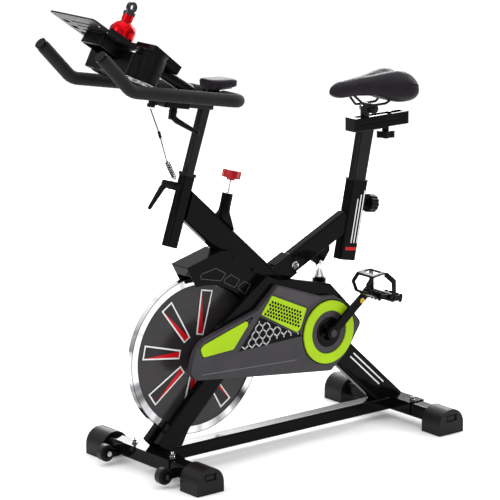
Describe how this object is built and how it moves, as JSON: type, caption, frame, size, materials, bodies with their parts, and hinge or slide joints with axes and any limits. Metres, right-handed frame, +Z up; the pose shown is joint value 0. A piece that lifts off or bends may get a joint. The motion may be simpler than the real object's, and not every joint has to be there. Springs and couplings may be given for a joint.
{
  "type": "indoor cycling exercise bike",
  "caption": "Indoor cycling bike with a braced steel frame, covered belt drive, front flywheel, horned handlebar with console and bottle, and a sliding saddle.",
  "frame": {"origin": "on the floor, at the middle of the overall length and width", "axes": "+X towards the saddle end, +Z up, -Y the rider's left where the drive cover is"},
  "size_m": [1.2, 0.52, 1.3123],
  "materials": {
    "painted_black": "gloss black powder coat",
    "satin_black": "satin black tube",
    "chrome": "polished",
    "steel": "turned",
    "cast_black": "painted dark grey",
    "cap_grey": "matte dark grey",
    "black_plastic": "moulded, fine grain",
    "shell_black": "gloss black",
    "shell_grey": "satin dark grey",
    "green": "lime green gloss",
    "belt_rubber": "ribbed",
    "wheel_rubber": "smooth",
    "foam": "closed-cell foam",
    "leather": "black vinyl cover",
    "red_knob": "translucent red gloss",
    "bottle_red": "gloss red coat",
    "felt": "felt pad on black holder",
    "screen": "lcd window",
    "cord": "coiled lead"
  },
  "bodies": {
    "frame": {"main_beam": "painted_black", "rear_stay": "painted_black", "fork": "painted_black", "front_post_tube": "painted_black", "front_post_bush": "cap_grey", "seat_tube": "painted_black", "seat_tube_bush": "cap_grey", "base_frame": "painted_black", "end_caps": "cap_grey", "frame_bolts": "chrome", "stabilisers": "painted_black", "bearings": "steel", "cover_base": "shell_black", "cover_front": "shell_grey", "cover_ring": "green", "cover_panels": "green", "drive_belt": "belt_rubber", "fender": "shell_black", "strut_neck": "chrome", "cord_coil": "cord"},
    "flywheel": {"flywheel_disc": "cast_black", "flywheel_rim": "chrome", "flywheel_axle": "steel", "small_pulley": "steel"},
    "crank": {"crank_hardware": "chrome", "crank_arms": "painted_black", "big_pulley": "black_plastic"},
    "left_pedal": {"pedal_left": "black_plastic", "toe_cage_left": "black_plastic"},
    "right_pedal": {"pedal_right": "black_plastic", "toe_cage_right": "black_plastic"},
    "left_transport_wheel": {"transport_wheel_left": "wheel_rubber"},
    "right_transport_wheel": {"transport_wheel_right": "wheel_rubber"},
    "brake_plunger": {"brake_rod": "chrome"},
    "tension_knob": {"brake_knob": "red_knob"},
    "pad_holder": {"brake_pad": "felt"},
    "post_clamp_lever": {"post_lever": "black_plastic"},
    "handlebar_post": {"bar_post": "satin_black", "rail_cap": "black_plastic", "cord_lead": "cord"},
    "handlebar_carriage": {"handlebar": "painted_black", "foam_grips": "foam", "arm_pad": "leather", "console_body": "black_plastic", "console_bracket": "chrome", "tablet_tray": "black_plastic", "display_case": "shell_black", "display_screen": "screen"},
    "carriage_clamp_lever": {"carriage_lever": "black_plastic"},
    "computer_button": {"display_button": "black_plastic"},
    "water_bottle": {"bottle": "bottle_red", "bottle_cap": "black_plastic"},
    "saddle_post": {"seat_post": "satin_black", "seat_channel": "painted_black", "channel_plugs": "black_plastic"},
    "pull_pin": {"pin_knob": "black_plastic"},
    "saddle_slider": {"seat_slider": "satin_black"},
    "saddle_clamp_knob": {"seat_knob": "black_plastic"},
    "saddle_top": {"saddle_rails": "satin_black", "saddle": "leather"}
  },
  "joints": [
    {"name": "flywheel_spin", "type": "hinge", "parent": "frame", "child": "flywheel", "pos_m": [-0.183, 0, 0.313], "axis": [0, 1, 0], "continuous": true},
    {"name": "crank_spin", "type": "hinge", "parent": "frame", "child": "crank", "pos_m": [0.239, 0, 0.323], "axis": [0, 1, 0], "continuous": true},
    {"name": "left_pedal_spin", "type": "hinge", "parent": "crank", "child": "left_pedal", "pos_m": [0.37477, 0, 0.42531], "axis": [0, 1, 0], "continuous": true},
    {"name": "right_pedal_spin", "type": "hinge", "parent": "crank", "child": "right_pedal", "pos_m": [0.10323, 0, 0.22069], "axis": [0, 1, 0], "continuous": true},
    {"name": "left_transport_spin", "type": "hinge", "parent": "frame", "child": "left_transport_wheel", "pos_m": [-0.396, -0.136, 0.036], "axis": [0, 1, 0], "continuous": true},
    {"name": "right_transport_spin", "type": "hinge", "parent": "frame", "child": "right_transport_wheel", "pos_m": [-0.396, 0.136, 0.036], "axis": [0, 1, 0], "continuous": true},
    {"name": "emergency_brake_push", "type": "slide", "parent": "frame", "child": "brake_plunger", "axis": [-0.2639, 0, -0.9646], "range_m": [0, 0.004], "stiffness_N_per_m": 3000, "springref_m": -0.006},
    {"name": "tension_knob_turn", "type": "hinge", "parent": "brake_plunger", "child": "tension_knob", "pos_m": [-0.05159, 0, 0.79335], "axis": [0.2639, 0, 0.9646], "range_deg": [0, 720]},
    {"name": "pad_feed", "type": "slide", "parent": "brake_plunger", "child": "pad_holder", "axis": [-0.2639, 0, -0.9646], "range_m": [0, 0.0025]},
    {"name": "post_lever_turn", "type": "hinge", "parent": "frame", "child": "post_clamp_lever", "pos_m": [-0.21369, 0, 0.793], "axis": [-0.9483, 0, 0.3173], "range_deg": [-90, 90]},
    {"name": "post_height", "type": "slide", "parent": "frame", "child": "handlebar_post", "axis": [0.3173, 0, 0.9483], "range_m": [-0.055, 0.06], "deforming": ["cord_coil"]},
    {"name": "handlebar_reach", "type": "slide", "parent": "handlebar_post", "child": "handlebar_carriage", "axis": [0.9816, 0, -0.1908], "range_m": [0, 0.045]},
    {"name": "carriage_lever_turn", "type": "hinge", "parent": "handlebar_carriage", "child": "carriage_clamp_lever", "pos_m": [-0.24302, 0, 1.04061], "axis": [-0.1908, 0, -0.9816], "range_deg": [0, 90]},
    {"name": "computer_button_press", "type": "slide", "parent": "handlebar_carriage", "child": "computer_button", "axis": [-0.6366, 0, -0.7712], "range_m": [0, 0.0014], "stiffness_N_per_m": 400, "springref_m": -0.003},
    {"name": "bottle_lift_out", "type": "slide", "parent": "handlebar_carriage", "child": "water_bottle", "axis": [0.454, 0, 0.891], "range_m": [0, 0.12]},
    {"name": "saddle_height", "type": "slide", "parent": "frame", "child": "saddle_post", "axis": [0.2045, 0, 0.9789], "range_m": [-0.1, 0.055]},
    {"name": "pull_pin_release", "type": "slide", "parent": "frame", "child": "pull_pin", "axis": [0.9789, 0, -0.2045], "range_m": [0, 0.012], "stiffness_N_per_m": 600, "springref_m": -0.012},
    {"name": "saddle_fore_aft", "type": "slide", "parent": "saddle_post", "child": "saddle_slider", "axis": [1, 0, 0], "range_m": [-0.012, 0.04]},
    {"name": "saddle_knob_turn", "type": "hinge", "parent": "saddle_post", "child": "saddle_clamp_knob", "pos_m": [0.519, 0, 0.86], "axis": [0, 0, 1], "range_deg": [0, 360]},
    {"name": "saddle_tilt", "type": "hinge", "parent": "saddle_slider", "child": "saddle_top", "pos_m": [0.455, 0, 0.936], "axis": [0, 1, 0], "range_deg": [-8, 8]}
  ],
  "couplings": [
    {"joint": "crank_spin", "follows": "flywheel_spin", "ratio": 0.33333},
    {"joint": "tension_knob_turn", "follows": "pad_feed", "rad_per_m": 5026.5}
  ]
}
